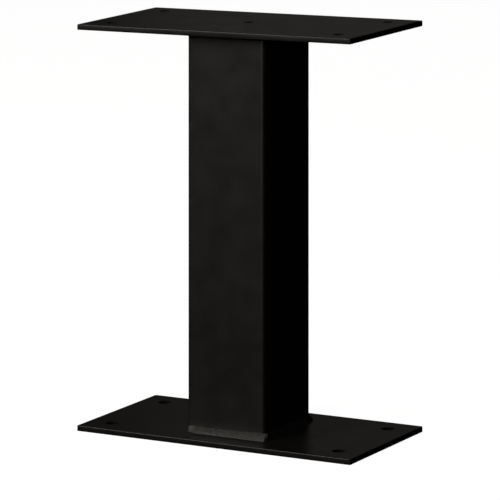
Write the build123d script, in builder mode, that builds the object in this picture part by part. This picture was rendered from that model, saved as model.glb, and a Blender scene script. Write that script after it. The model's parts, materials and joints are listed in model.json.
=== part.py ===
from build123d import *
import os

# A bolt-down display pedestal welded up from three pieces of steel: a base plate that
# bolts to the floor, a square post, and a top plate that carries the case or the exhibit.
# Every plate-to-post joint is a fillet weld, laid as one run along each side of the post.
# Millimetres. The origin is the centre of the base plate's underside, +Z is up,
# X runs along the plates' long sides, and the front is the side that faces -Y.

# Overall sizes
overall_height = 463.55         # floor to the top plate's upper face, 18 1/4 in
plate_length = 358.775          # 14 1/8 in
plate_depth = 165.1             # 6 1/2 in
plate_thickness = 6.35          # 1/4 in hot-rolled plate
plate_corner_radius = 1.6       # the four corners in plan, dressed with a file
plate_edge_radius = 0.8         # the long arrises, softened before coating

# Post: structural square tube
tube_side = 101.6               # 4 in
tube_wall = 3.175               # 1/8 in
tube_inner_radius = 1.6         # the bend on the inside of each corner

# Holes
bolt_inset_x = 30.1625          # hole centres from the plates' short edges, 1 3/16 in
bolt_inset_y = 26.9875          # hole centres from the plates' long edges, 1 1/16 in
anchor_hole_diameter = 14.3     # base plate, for 1/2 in anchors
fixing_hole_diameter = 11.1     # top plate, for 3/8 in bolts
lead_hole_diameter = 11.1       # middle of both plates, for a lead and to vent the post

# Fillet welds
weld_leg = 5.5                  # along the plate and up the post
weld_crown = 0.5                # how far the bead's face bulges past a flat fillet

# Worked out from the sizes above
tube_corner_radius = tube_inner_radius + tube_wall
tube_bore = tube_side - 2 * tube_wall
tube_length = overall_height - 2 * plate_thickness
top_plate_level = overall_height - plate_thickness
bolt_spacing_x = plate_length - 2 * bolt_inset_x
bolt_spacing_y = plate_depth - 2 * bolt_inset_y
corner_centre = tube_side / 2 - tube_corner_radius

os.makedirs("parts", exist_ok=True)


def save(piece, name):
    """Label one finished piece and write it to its own file."""
    piece.part.label = name
    export_step(piece.part, f"parts/{name}.step")


def make_plate(name, level, bolt_hole_diameter):
    """A flat plate whose underside is at level, with a bolt hole near each corner."""
    with BuildPart() as plate:
        with BuildSketch(Plane.XY.offset(level)):
            RectangleRounded(plate_length, plate_depth, plate_corner_radius)
        extrude(amount=plate_thickness)
        rims = plate.edges().group_by(Axis.Z)
        fillet(rims[0] + rims[-1], plate_edge_radius)
        with Locations(plate.faces().sort_by(Axis.Z)[-1]):
            with GridLocations(bolt_spacing_x, bolt_spacing_y, 2, 2):
                Hole(bolt_hole_diameter / 2)
            Hole(lead_hole_diameter / 2)
    save(plate, name)


def make_weld_run(name, level, upward, turn):
    """One side's fillet weld, in the corner between the post and the plate face at level.

    upward is 1 on the base plate and -1 under the top plate. turn swings the front
    side's run round to another side. A run starts and stops halfway round the post's
    corners, where it meets its neighbours on the mitre.
    """
    with BuildPart() as run:
        with BuildLine(Plane.XY.offset(level).rotated((0, 0, turn))) as root:
            CenterArc((-corner_centre, -corner_centre), tube_corner_radius, 225, 45)
            Line((-corner_centre, -tube_side / 2), (corner_centre, -tube_side / 2))
            CenterArc((corner_centre, -corner_centre), tube_corner_radius, 270, 45)
        along = root.wire() % 0
        outward = Vector(along.Y, -along.X)
        with BuildSketch(Plane(root.wire() @ 0, x_dir=outward, z_dir=along * -upward)):
            with BuildLine():
                Polyline((weld_leg, 0), (0, 0), (0, weld_leg))
                SagittaArc((0, weld_leg), (weld_leg, 0), weld_crown)
            make_face()
        sweep()
    save(run, name)


make_plate("base_plate", 0, anchor_hole_diameter)
make_plate("top_plate", top_plate_level, fixing_hole_diameter)

# The post stands between the two plates, square-cut ends tight against both.
with BuildPart() as post_tube:
    with BuildSketch(Plane.XY.offset(plate_thickness)):
        RectangleRounded(tube_side, tube_side, tube_corner_radius)
        RectangleRounded(tube_bore, tube_bore, tube_inner_radius, mode=Mode.SUBTRACT)
    extrude(amount=tube_length)
save(post_tube, "post_tube")

# Eight weld runs: one along each side of the post, at the bottom and at the top.
for side, turn in {"front": 0, "right": 90, "back": 180, "left": 270}.items():
    make_weld_run(f"base_weld_{side}", plate_thickness, 1, turn)
    make_weld_run(f"top_weld_{side}", top_plate_level, -1, turn)
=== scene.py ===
import json
import math

import bmesh
import bpy
from mathutils import Matrix, Vector, noise
from mathutils.geometry import delaunay_2d_cdt


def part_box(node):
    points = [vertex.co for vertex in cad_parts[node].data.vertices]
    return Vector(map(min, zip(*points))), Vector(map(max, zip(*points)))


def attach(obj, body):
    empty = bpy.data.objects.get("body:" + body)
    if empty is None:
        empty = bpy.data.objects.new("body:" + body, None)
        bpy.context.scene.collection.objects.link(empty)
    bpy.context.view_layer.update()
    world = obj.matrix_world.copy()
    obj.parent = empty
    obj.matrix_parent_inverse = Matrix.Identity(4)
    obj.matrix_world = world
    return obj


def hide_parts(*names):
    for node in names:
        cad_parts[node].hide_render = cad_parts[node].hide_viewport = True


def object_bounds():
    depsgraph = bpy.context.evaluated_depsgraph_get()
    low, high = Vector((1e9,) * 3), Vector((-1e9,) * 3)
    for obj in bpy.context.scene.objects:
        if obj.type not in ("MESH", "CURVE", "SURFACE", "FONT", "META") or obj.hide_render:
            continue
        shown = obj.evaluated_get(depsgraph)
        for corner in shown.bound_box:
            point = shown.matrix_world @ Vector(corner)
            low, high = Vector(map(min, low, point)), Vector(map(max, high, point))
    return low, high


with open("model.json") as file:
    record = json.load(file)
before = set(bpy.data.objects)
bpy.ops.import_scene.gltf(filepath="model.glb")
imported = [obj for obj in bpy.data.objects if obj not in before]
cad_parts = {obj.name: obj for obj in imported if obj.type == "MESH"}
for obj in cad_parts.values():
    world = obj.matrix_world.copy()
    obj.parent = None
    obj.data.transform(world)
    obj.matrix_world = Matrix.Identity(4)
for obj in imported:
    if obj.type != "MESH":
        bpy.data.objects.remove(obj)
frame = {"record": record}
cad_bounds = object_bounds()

# A bolt-down display plinth: two flat steel plates welded to the ends of a square post, powder
# coated black. Lengths are in metres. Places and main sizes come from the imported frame.

MM = 0.001

# ---------------------------------------------------------------------------------------------
# Sizes
# ---------------------------------------------------------------------------------------------

MOUNTS = {mount["name"]: mount for mount in frame["record"]["mounts"]}
POST_LOW, POST_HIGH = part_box("post_tube")
POST_SIDE = POST_HIGH.x - POST_LOW.x
POST_WALL = 3.175 * MM
POST_CORNER = 4.775 * MM            # outside bend of the square tube
POST_DISHING = 0.12 * MM            # a rolled tube's sides are a little hollow
POST_WAVINESS = 0.05 * MM
POST_WAVES_ACROSS = 9               # noise cycles in a metre
POST_WAVES_UP = 14

PLATE_CORNER = 1.6 * MM             # the plates' corners in plan
SHEAR_ROLLOVER = 0.85 * MM          # the upper arris, which the shear blade rolls over
SHEAR_BURR = 0.6 * MM               # the lower arris, dressed with a file
HOLE_RIM = 0.45 * MM                # coating softens the rim of a hole
GUARD = 0.3 * MM                    # flat margin inside every arris, so that its shading stays local

BURIED = 2.0 * MM                   # how far a bead's back reaches into the steel that it joins
BEAD_CORNER = 1.5 * MM              # a bead turns the post's corner more sharply than the post does
BEAD_CROWN = 0.15 * MM
BEAD_CLIMB = 1.35                   # a bead reaches further up the post than out over the plate
BEAD_STEP = 0.45 * MM
BEAD_ACROSS = 12
RIPPLE_PITCH = 1.9 * MM
RIPPLE_HEIGHT = 0.11 * MM
RIPPLE_LAG = 1.2 * MM               # a ripple's middle trails its ends, so it is a crescent
TOE_WAVINESS = 0.35 * MM
TOE_WAVE = 7 * MM
LUMP_HEIGHT = 0.25 * MM
LUMP_LENGTH = 4 * MM
PITCH_DRIFT = 0.5                   # of a ripple
PITCH_DRIFT_LENGTH = 9 * MM
RESTART_BLEND = 0.2                 # the share of a go over which its leg takes over from the last
START_WIDTH = 0.4                   # how narrow a run's start and stop are, next to its full width
STOP_WIDTH = 0.5

# Each weld run is laid in three goes, in mm: the leg where a go starts and where it ends.
GOES = {
    "base_weld_front": ((5.6, 4.9), (5.7, 5.2), (5.6, 5.9)),
    "base_weld_right": ((5.4, 4.9), (5.3, 5.7), (5.2, 4.8)),
    "base_weld_back": ((4.9, 5.4), (5.1, 4.8), (5.6, 5.1)),
    "base_weld_left": ((5.6, 5.1), (5.4, 4.9), (5.3, 5.0)),
    "top_weld_front": ((4.4, 4.7), (4.3, 4.8), (4.6, 4.8)),
    "top_weld_right": ((4.8, 4.4), (4.9, 4.5), (4.4, 4.7)),
    "top_weld_back": ((4.6, 4.2), (4.8, 4.4), (4.8, 4.3)),
    "top_weld_left": ((4.2, 4.6), (4.5, 4.8), (4.3, 4.6)),
}
# How far short of the mitre at a corner a run starts or stops, and the length of its taper, in mm.
# A minus is a run that carries on past the mitre.
USUAL_END = (-1.9, 2.6)
STARTS = {
    "base_weld_front": (2.4, 12),
    "base_weld_right": (1.5, 3),
    "top_weld_front": (1, 6),
    "top_weld_right": (1.5, 3),
}
STOPS = {
    "base_weld_front": (-5, 2),
    "base_weld_right": (2, 4),
    "base_weld_left": (13, 5),
    "top_weld_front": (-2, 3),
    "top_weld_left": (9, 5),
}
# These go straight on past the post's corner. The others turn with it.
STRAIGHT_RUNS = {"base_weld_front", "top_weld_front"}
SIDE_TURNS = {"front": 0, "right": 90, "back": 180, "left": 270}


# ---------------------------------------------------------------------------------------------
# Mesh helpers
# ---------------------------------------------------------------------------------------------

def rounded_outline(length, depth, radius, corner_steps, side_pitch):
    """Points round a rounded rectangle, anticlockwise, each with the way it faces."""
    outline = []
    centres = [Vector((sx * (length / 2 - radius), sy * (depth / 2 - radius)))
               for sx, sy in ((1, 1), (-1, 1), (-1, -1), (1, -1))]
    for quarter, centre in enumerate(centres):
        for step in range(corner_steps + 1):
            angle = math.radians(90) * (quarter + step / corner_steps)
            facing = Vector((math.cos(angle), math.sin(angle)))
            outline.append((centre + facing * radius, facing))
        side_start = centre + facing * radius
        side_end = centres[(quarter + 1) % 4] + facing * radius
        pieces = max(1, round((side_end - side_start).length / side_pitch))
        for piece in range(1, pieces):
            outline.append((side_start.lerp(side_end, piece / pieces), facing))
    return outline


def hole_outline(centre, radius, steps=40):
    """Points round a hole, each with the way its wall faces, which is inwards."""
    outline = []
    for step in range(steps):
        angle = math.tau * step / steps
        facing = -Vector((math.cos(angle), math.sin(angle)))
        outline.append((centre - facing * radius, facing))
    return outline


def edge_profile(thickness, upper, lower, steps=5):
    """(inset, depth below the upper face, arris) from a plate's upper face round to its lower."""
    profile = [(upper + GUARD, 0, 0)]
    for step in range(steps + 1):
        angle = math.radians(90) * step / steps
        profile.append((upper * (1 - math.sin(angle)), upper * (1 - math.cos(angle)), math.sin(2 * angle)))
    for step in range(steps + 1):
        angle = math.radians(90) * step / steps
        profile.append((lower * (1 - math.cos(angle)), thickness - lower * (1 - math.sin(angle)),
                        math.sin(2 * angle)))
    profile.append((lower + GUARD, thickness, 0))
    return profile


def join_rings(bm, rings, closed=False):
    """Quads between each ring of vertices and the next."""
    pairs = list(zip(rings, rings[1:]))
    if closed:
        pairs.append((rings[-1], rings[0]))
    for ring, other in pairs:
        for k, vert in enumerate(ring):
            after = (k + 1) % len(ring)
            bm.faces.new((vert, ring[after], other[after], other[k]))


def fill_flat(bm, loops, holes, pitch=9 * MM):
    """Fills a flat face between its outer loop and its hole loops, with evenly sized triangles."""
    verts = [vert for loop in loops for vert in loop]
    level = verts[0].co.z
    spots = [vert.co.xy for vert in verts]
    sides = []
    first = 0
    for loop in loops:
        sides += [(first + k, first + (k + 1) % len(loop)) for k in range(len(loop))]
        first += len(loop)
    reach_x = max(spot.x for spot in spots) - pitch / 2
    reach_y = max(spot.y for spot in spots) - pitch / 2
    columns = round(2 * reach_x / pitch)
    rows = round(2 * reach_y / pitch)
    for column in range(columns + 1):
        for row in range(rows + 1):
            spot = Vector((reach_x * (2 * column / columns - 1), reach_y * (2 * row / rows - 1)))
            if all((spot - centre).length > radius + pitch / 3 for centre, radius in holes):
                spots.append(spot)
    made, _, triangles, source, _, _ = delaunay_2d_cdt(spots, sides, [], 0, 1e-7)
    corners = []
    for spot, came_from in zip(made, source):
        known = [k for k in came_from if k < len(verts)]
        corners.append(verts[known[0]] if known else bm.verts.new((spot.x, spot.y, level)))
    for triangle in triangles:
        middle = sum((made[k] for k in triangle), Vector((0, 0))) / 3
        if all((middle - centre).length > radius for centre, radius in holes):
            bm.faces.new([corners[k] for k in triangle])


def finish_piece(bm, node, material, crease=50):
    """Turns a bmesh into the piece that stands for a CAD node, shaded smooth up to its creases."""
    bmesh.ops.recalc_face_normals(bm, faces=bm.faces[:])
    for face in bm.faces:
        face.smooth = True
    for edge in bm.edges:
        edge.smooth = edge.calc_face_angle(0) < math.radians(crease)
    mesh = bpy.data.meshes.new(f"coated_{node}")
    bm.to_mesh(mesh)
    bm.free()
    mesh.materials.append(material)
    piece = bpy.data.objects.new(f"coated_{node}", mesh)
    bpy.context.scene.collection.objects.link(piece)
    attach(piece, "root")
    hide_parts(node)
    return piece


# ---------------------------------------------------------------------------------------------
# The object's pieces
# ---------------------------------------------------------------------------------------------

def make_plate(node, bolt_mount, lead_mount, material):
    """A sheared plate: arrises rolled over on the upper side, soft rims round its five holes."""
    low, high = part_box(node)
    thickness = high.z - low.z
    bolts = MOUNTS[bolt_mount]["dims"]
    bolt_x, bolt_y = bolts["spacing_x_mm"] * MM / 2, bolts["spacing_y_mm"] * MM / 2
    bolt_radius = bolts["hole_r_mm"] * MM
    holes = [(Vector((sx * bolt_x, sy * bolt_y)), bolt_radius) for sx in (-1, 1) for sy in (-1, 1)]
    holes.append((Vector((0, 0)), MOUNTS[lead_mount]["dims"]["r_mm"] * MM))

    outer = rounded_outline(high.x - low.x, high.y - low.y, PLATE_CORNER, 6, 9 * MM)
    walls = [(outer, edge_profile(thickness, SHEAR_ROLLOVER, SHEAR_BURR), 0)]
    rim = edge_profile(thickness, HOLE_RIM, HOLE_RIM, steps=3)
    # hole walls are flagged 1: they carry the mask for painted shade
    walls += [(hole_outline(centre, radius), rim, 1) for centre, radius in holes]

    bm = bmesh.new()
    arris = bm.verts.layers.float.new("arris")
    bore = bm.verts.layers.float.new("bore")
    upper_loops, lower_loops = [], []
    for outline, profile, painted_hole_shade in walls:
        rings = []
        for inset, depth, bare in profile:
            ring = []
            for point, facing in outline:
                spot = point - facing * inset
                vert = bm.verts.new((spot.x, spot.y, high.z - depth))
                vert[arris] = bare
                # the bore mask marks hole walls, where the coat's colour is darkened as painted shade
                vert[bore] = painted_hole_shade * max(0, 1 - inset / HOLE_RIM)
                ring.append(vert)
            rings.append(ring)
        join_rings(bm, rings)
        upper_loops.append(rings[0])
        lower_loops.append(rings[-1])
    fill_flat(bm, upper_loops, holes)
    fill_flat(bm, lower_loops, holes)
    return finish_piece(bm, node, material)


def make_post(material):
    """The square tube, open at both ends, its sides a little hollow and wavy from the rolls."""
    outline = rounded_outline(POST_SIDE, POST_SIDE, POST_CORNER, 9, 8 * MM)
    flat_half = POST_SIDE / 2 - POST_CORNER
    levels = 41
    heights = [POST_LOW.z + (POST_HIGH.z - POST_LOW.z) * k / (levels - 1) for k in range(levels)]
    bm = bmesh.new()
    bm.verts.layers.float.new("arris")

    def wall_ring(height, inset, dished):
        ring = []
        for point, facing in outline:
            across = min(1, min(abs(point.x), abs(point.y)) / flat_half)
            give = dished * (1 - across * across)
            wave = noise.noise(Vector((point.x * POST_WAVES_ACROSS, point.y * POST_WAVES_ACROSS,
                                       height * POST_WAVES_UP)))
            spot = point - facing * (inset + give * (POST_DISHING + POST_WAVINESS * wave))
            ring.append(bm.verts.new((spot.x, spot.y, height)))
        return ring

    outer = [wall_ring(height, 0, 1) for height in heights]
    inner = [wall_ring(height, POST_WALL, 0) for height in reversed(heights)]
    join_rings(bm, outer + inner, closed=True)
    return finish_piece(bm, "post_tube", material)


def bead_foot(along, straight):
    """Where the front side's weld root is, and the way out from the post, at a distance along it."""
    arc = BEAD_CORNER * math.pi / 4
    flat_half = POST_SIDE / 2 - BEAD_CORNER
    past_middle = along - arc - flat_half
    if straight or abs(past_middle) < flat_half:
        return Vector((past_middle, -POST_SIDE / 2, 0)), Vector((0, -1, 0))
    centre = math.copysign(flat_half, past_middle)
    angle = math.radians(270) + (past_middle - centre) / BEAD_CORNER
    outward = Vector((math.cos(angle), math.sin(angle), 0))
    return Vector((centre, -flat_half, 0)) + outward * BEAD_CORNER, outward


def smooth_step(low, high, value):
    """0 below low, 1 above high, and an easy curve between."""
    t = min(1, max(0, (value - low) / (high - low)))
    return t * t * (3 - 2 * t)


def bead_leg(goes, share):
    """The leg at a share of the run's length: it drifts within a go and steps at a restart."""
    spot = min(0.9999, max(0, share)) * len(goes)
    go = int(spot)
    start, end = goes[go]
    leg = start + (end - start) * (spot - go)
    if go > 0:
        before = goes[go - 1][1]
        leg += (before - leg) * (1 - smooth_step(0, RESTART_BLEND, spot - go))
    return leg * MM


def lay_bead(node, material):
    """One fillet run: ripples, wavy toes, and ends that taper or are lapped by the next run."""
    plate_end, _, side = node.split("_")
    turn = math.radians(SIDE_TURNS[side])
    upward = 1 if plate_end == "base" else -1
    low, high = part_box(node)
    level = low.z if upward == 1 else high.z
    seed = 10 * list(GOES).index(node)
    run = BEAD_CORNER * math.pi / 2 + POST_SIDE - 2 * BEAD_CORNER
    start_short, run_in = (mm * MM for mm in STARTS.get(node, USUAL_END))
    stop_short, run_out = (mm * MM for mm in STOPS.get(node, USUAL_END))
    laid = run - start_short - stop_short
    steps = round(laid / BEAD_STEP)
    bm = bmesh.new()
    arris = bm.verts.layers.float.new("arris")
    sections = []
    for step in range(steps + 1):
        along = start_short + laid * step / steps
        foot, outward = bead_foot(along, node in STRAIGHT_RUNS)
        ramp_in = smooth_step(0, run_in, along - start_short)
        ramp_out = smooth_step(0, run_out, run - stop_short - along)
        fade = (START_WIDTH + (1 - START_WIDTH) * ramp_in) * (STOP_WIDTH + (1 - STOP_WIDTH) * ramp_out)
        leg = bead_leg(GOES[node], along / run)
        wave = along / TOE_WAVE
        plate_toe = TOE_WAVINESS * fade * noise.noise(Vector((wave, seed, 0.5)))
        post_toe = TOE_WAVINESS * fade * noise.noise(Vector((wave, seed, 7.5)))
        plate_leg = leg * fade + plate_toe
        post_leg = BEAD_CLIMB * leg * fade ** 0.2 + post_toe
        corners = []
        for k in range(BEAD_ACROSS + 1):
            across = k / BEAD_ACROSS
            belly = math.sin(math.pi * across)
            trail = along + RIPPLE_LAG * (1 - (2 * across - 1) ** 2)
            pitch_drift = PITCH_DRIFT * noise.noise(Vector((along / PITCH_DRIFT_LENGTH, seed, 3.5)))
            ripple = 0.5 + 0.5 * math.cos(math.tau * (trail / RIPPLE_PITCH + pitch_drift))
            lump = LUMP_HEIGHT * noise.noise(Vector((along / LUMP_LENGTH, seed, 11.5 + across)))
            swell = belly * (BEAD_CROWN * fade + lump) + math.sqrt(belly) * RIPPLE_HEIGHT * ripple
            out = plate_leg * (1 - across) + swell * math.sqrt(0.5)
            up = post_leg * across + swell * math.sqrt(0.5)
            corners.append((out, up, belly * ripple))
        corners += [(-BURIED, post_leg, 0), (-BURIED, -BURIED, 0), (plate_leg, -BURIED, 0)]
        section = []
        for out, up, bare in corners:
            spot = foot + outward * out
            vert = bm.verts.new((spot.x * math.cos(turn) - spot.y * math.sin(turn),
                                 spot.x * math.sin(turn) + spot.y * math.cos(turn),
                                 level + upward * up))
            vert[arris] = 0.3 * bare
            section.append(vert)
        sections.append(section)
    join_rings(bm, sections)
    bm.faces.new(sections[0])
    bm.faces.new(sections[-1])
    return finish_piece(bm, node, material)


# ---------------------------------------------------------------------------------------------
# Finishes
# ---------------------------------------------------------------------------------------------

def linear(code, alpha=1):
    """An sRGB hex colour as linear RGBA."""
    channels = [int(code[k:k + 2], 16) / 255 for k in (1, 3, 5)]
    return [c / 12.92 if c <= 0.04045 else ((c + 0.055) / 1.055) ** 2.4 for c in channels] + [alpha]


def add(tree, kind, inputs=None, **settings):
    """Adds one shader node: its settings, then its inputs, each a value or another node's output."""
    made = tree.nodes.new(f"ShaderNode{kind}")
    for key, value in settings.items():
        setattr(made, key, value)
    for socket, value in (inputs or {}).items():
        if isinstance(value, bpy.types.NodeSocket):
            tree.links.new(value, made.inputs[socket])
        else:
            made.inputs[socket].default_value = value
    return made


def new_material(name):
    """An empty node material."""
    material = bpy.data.materials.new(name)
    material.use_nodes = True
    material.node_tree.nodes.clear()
    return material


def powder_coat(name, peel_pitch, peel_height, gloss_roughness):
    """Black polyester powder coat, sprayed dry and baked on steel.

    It is a dielectric film, so it shows a soft, wide sheen over a nearly black body. It flows
    into an orange peel, and it pulls thin and glossier over arrises. A hole's wall is made
    rougher with less sheen, and its colour is darkened there as painted shade. A little dust
    settles on whatever faces up.
    """
    material = new_material(name)
    tree = material.node_tree
    place = add(tree, "TexCoord").outputs["Object"]
    peel = add(tree, "TexNoise", {"Vector": place, "Scale": 1 / peel_pitch, "Detail": 2.0, "Roughness": 0.45})
    # baked grit is about 0.1 mm across; it is drawn at 0.6 mm, the finest that a view can show
    grit = add(tree, "TexNoise", {"Vector": place, "Scale": 1 / (0.6 * MM), "Detail": 1.0})
    cloud = add(tree, "TexNoise", {"Vector": place, "Scale": 1 / (28 * MM), "Detail": 3.0, "Roughness": 0.55})
    wipe = add(tree, "TexNoise", {"Vector": place, "Scale": 1 / (90 * MM), "Detail": 2.0})
    arris = add(tree, "Attribute", attribute_name="arris").outputs["Fac"]
    bore = add(tree, "Attribute", attribute_name="bore").outputs["Fac"]

    facing = add(tree, "SeparateXYZ", {"Vector": add(tree, "NewGeometry").outputs["Normal"]})
    level = add(tree, "MapRange", {"Value": facing.outputs["Z"], "From Min": 0.55, "From Max": 1.0})
    dust = add(tree, "Math", {0: level.outputs["Result"], 1: cloud.outputs["Fac"]}, operation="MULTIPLY")

    tint = add(tree, "MapRange", {"Value": wipe.outputs["Fac"], "From Min": 0.3, "From Max": 0.7})
    body = add(tree, "Mix", {"Factor": tint.outputs["Result"], "A": linear("#121110"),
                             "B": linear("#161514")}, data_type="RGBA")
    thinned = add(tree, "Mix", {"Factor": arris, "A": body.outputs["Result"], "B": linear("#1d1c1b")},
                  data_type="RGBA")
    dusted = add(tree, "Mix", {"Factor": dust.outputs["Value"], "A": thinned.outputs["Result"],
                               "B": linear("#1c1b1a")}, data_type="RGBA")
    # painted shade: the colour of the hole walls is darkened towards #0b0b0b
    painted_hole_shade = add(tree, "Mix", {"Factor": bore, "A": dusted.outputs["Result"], "B": linear("#0b0b0b")},
                  data_type="RGBA")

    mottled = add(tree, "MapRange", {"Value": cloud.outputs["Fac"], "From Min": 0.25, "From Max": 0.75,
                                     "To Min": gloss_roughness - 0.04, "To Max": gloss_roughness + 0.05})
    glossier = add(tree, "Math", {0: arris, 1: -0.06, 2: mottled.outputs["Result"]}, operation="MULTIPLY_ADD")

    coarse = add(tree, "Bump", {"Height": peel.outputs["Fac"], "Distance": peel_height, "Strength": 1.0})
    fine = add(tree, "Bump", {"Height": grit.outputs["Fac"], "Distance": 0.004 * MM, "Strength": 0.6,
                              "Normal": coarse.outputs["Normal"]})
    duller = add(tree, "Math", {0: bore, 1: 0.45, 2: glossier.outputs["Value"]}, operation="MULTIPLY_ADD")
    sheen = add(tree, "Math", {0: bore, 1: -0.42, 2: 0.5}, operation="MULTIPLY_ADD")
    shader = add(tree, "BsdfPrincipled", {"Base Color": painted_hole_shade.outputs["Result"],
                                          "Roughness": duller.outputs["Value"],
                                          "Specular IOR Level": sheen.outputs["Value"],
                                          "IOR": 1.5, "Metallic": 0.0, "Normal": fine.outputs["Normal"]})
    add(tree, "OutputMaterial", {"Surface": shader.outputs["BSDF"]})
    return material


def studio_paper(name):
    """Matt white sweep: pale, plain, and lit a little from within so that it stays even."""
    material = new_material(name)
    tree = material.node_tree
    matt = add(tree, "BsdfDiffuse", {"Color": linear("#8a8a88"), "Roughness": 0.0})
    lift = add(tree, "Emission", {"Color": linear("#ffffff"), "Strength": 0.97})
    both = add(tree, "AddShader", {0: matt.outputs["BSDF"], 1: lift.outputs["Emission"]})
    add(tree, "OutputMaterial", {"Surface": both.outputs["Shader"]})
    return material


# ---------------------------------------------------------------------------------------------
# Studio
# ---------------------------------------------------------------------------------------------

MIDDLE = (cad_bounds[0] + cad_bounds[1]) / 2
SWEEP_FLOOR = 7.0
SWEEP_COVE = 2.5
SWEEP_WALL = 6.0
SWEEP_SIDES = 96
COVE_STEPS = 12

CAMERA_LENS = 258                   # mm, on a 36 mm wide sensor
CAMERA_AZIMUTH = 31.4               # degrees round from the front, towards the right-hand end
CAMERA_ELEVATION = 10.84
CAMERA_DISTANCE = 4.061
CAMERA_AIM = Vector((0.0011, 0.0007, 0.2055))
CAMERA_ROLL = -1.49

# Softboxes round the plinth: azimuth and elevation in degrees, and power in watts
SOFTBOX_DISTANCE = 4.0
SOFTBOX_SIDE = 1.6
SOFTBOX_COLOUR = (1.0, 0.95, 0.87)
SOFTBOXES = {
    "front": (9, 18, 43),
    "front_middle": (-30, 23, 41),
    "front_left": (-60, 23, 20),
    "high_left": (-60, 57, 3.3),
    "left_back": (-120, 45, 1.9),
    "back_left": (-156, 21, 0.65),
}


def toward(azimuth, elevation):
    """The direction out from the plinth. Azimuth 0 is straight out from its front."""
    a, e = math.radians(azimuth), math.radians(elevation)
    return Vector((math.sin(a) * math.cos(e), -math.cos(a) * math.cos(e), math.sin(e)))


def make_sweep():
    """The floor and the white wall that curves up from it all round."""
    profile = [(0.0, 0.0), (SWEEP_FLOOR * 0.3, 0.0), (SWEEP_FLOOR, 0.0)]
    for step in range(1, COVE_STEPS + 1):
        angle = math.radians(90) * step / COVE_STEPS
        profile.append((SWEEP_FLOOR + SWEEP_COVE * math.sin(angle), SWEEP_COVE * (1 - math.cos(angle))))
    profile.append((SWEEP_FLOOR + SWEEP_COVE, SWEEP_WALL))
    bm = bmesh.new()
    centre = bm.verts.new((0, 0, 0))
    angles = [math.tau * k / SWEEP_SIDES for k in range(SWEEP_SIDES)]
    rings = [[bm.verts.new((radius * math.cos(angle), radius * math.sin(angle), height)) for angle in angles]
             for radius, height in profile[1:]]
    for k, vert in enumerate(rings[0]):
        bm.faces.new((centre, vert, rings[0][(k + 1) % len(rings[0])]))
    join_rings(bm, rings)
    bmesh.ops.recalc_face_normals(bm, faces=bm.faces[:])
    bmesh.ops.reverse_faces(bm, faces=bm.faces[:])
    for face in bm.faces:
        face.smooth = True
    mesh = bpy.data.meshes.new("sweep")
    bm.to_mesh(mesh)
    bm.free()
    mesh.materials.append(studio_paper("studio_paper"))
    sweep = bpy.data.objects.new("sweep", mesh)
    bpy.context.scene.collection.objects.link(sweep)
    sweep.location.z = cad_bounds[0].z
    sweep.visible_glossy = False
    sweep.visible_diffuse = False


def light_studio():
    """Soft boxes aimed at the plinth's middle, in a dim room."""
    for name, (azimuth, elevation, power) in SOFTBOXES.items():
        lamp = bpy.data.lights.new(name, "AREA")
        lamp.shape = "SQUARE"
        lamp.size, lamp.color, lamp.energy = SOFTBOX_SIDE, SOFTBOX_COLOUR, power
        box = bpy.data.objects.new(name, lamp)
        bpy.context.scene.collection.objects.link(box)
        out = toward(azimuth, elevation)
        box.location = MIDDLE + out * SOFTBOX_DISTANCE
        box.rotation_euler = out.to_track_quat("Z", "Y").to_euler()
    world = bpy.data.worlds.new("dim_room")
    world.use_nodes = True
    tree = world.node_tree
    tree.nodes.clear()
    back = add(tree, "Background", {"Color": (0.001, 0.001, 0.001, 1), "Strength": 1.0})
    add(tree, "OutputWorld", {"Surface": back.outputs["Background"]})
    bpy.context.scene.world = world


def place_camera():
    """A long lens a little above the plinth, looking down at its front and right-hand end.

    It is a view camera: its back stays upright while the lens looks down, so that the post's
    edges stay parallel. The stand holds that tilt of the back, and the camera's own shift is 0.
    """
    lens = bpy.data.cameras.new("camera")
    lens.lens, lens.sensor_width = CAMERA_LENS, 36
    lens.clip_start, lens.clip_end = 0.1, 60
    camera = bpy.data.objects.new("camera", lens)
    stand = bpy.data.objects.new("camera_stand", None)
    for thing in (camera, stand):
        bpy.context.scene.collection.objects.link(thing)
    out = toward(CAMERA_AZIMUTH, CAMERA_ELEVATION)
    right = Vector((-out.y, out.x, 0)).normalized() + Vector((0, 0, math.tan(math.radians(CAMERA_ROLL))))
    upright = Vector((0, 0, 1))
    eye = CAMERA_AIM + out * CAMERA_DISTANCE
    camera.parent = stand
    sheared = [(*axis, 0) for axis in (right, upright, out)] + [(*eye, 1)]
    camera.matrix_parent_inverse = Matrix(sheared).transposed()
    bpy.context.scene.camera = camera


# ---------------------------------------------------------------------------------------------
# Put it together
# ---------------------------------------------------------------------------------------------

plate_coat = powder_coat("black_powder_coat_on_plate", 2.6 * MM, 0.035 * MM, 0.33)
tube_coat = powder_coat("black_powder_coat_on_tube", 2.2 * MM, 0.022 * MM, 0.38)
weld_coat = powder_coat("black_powder_coat_on_weld", 1.6 * MM, 0.030 * MM, 0.52)

make_plate("base_plate", "base_bolts", "base_lead_hole", plate_coat)
make_plate("top_plate", "top_bolts", "top_lead_hole", plate_coat)
make_post(tube_coat)
for weld in GOES:
    lay_bead(weld, weld_coat)

make_sweep()
light_studio()
place_camera()
bpy.context.scene.view_settings.view_transform = "Standard"
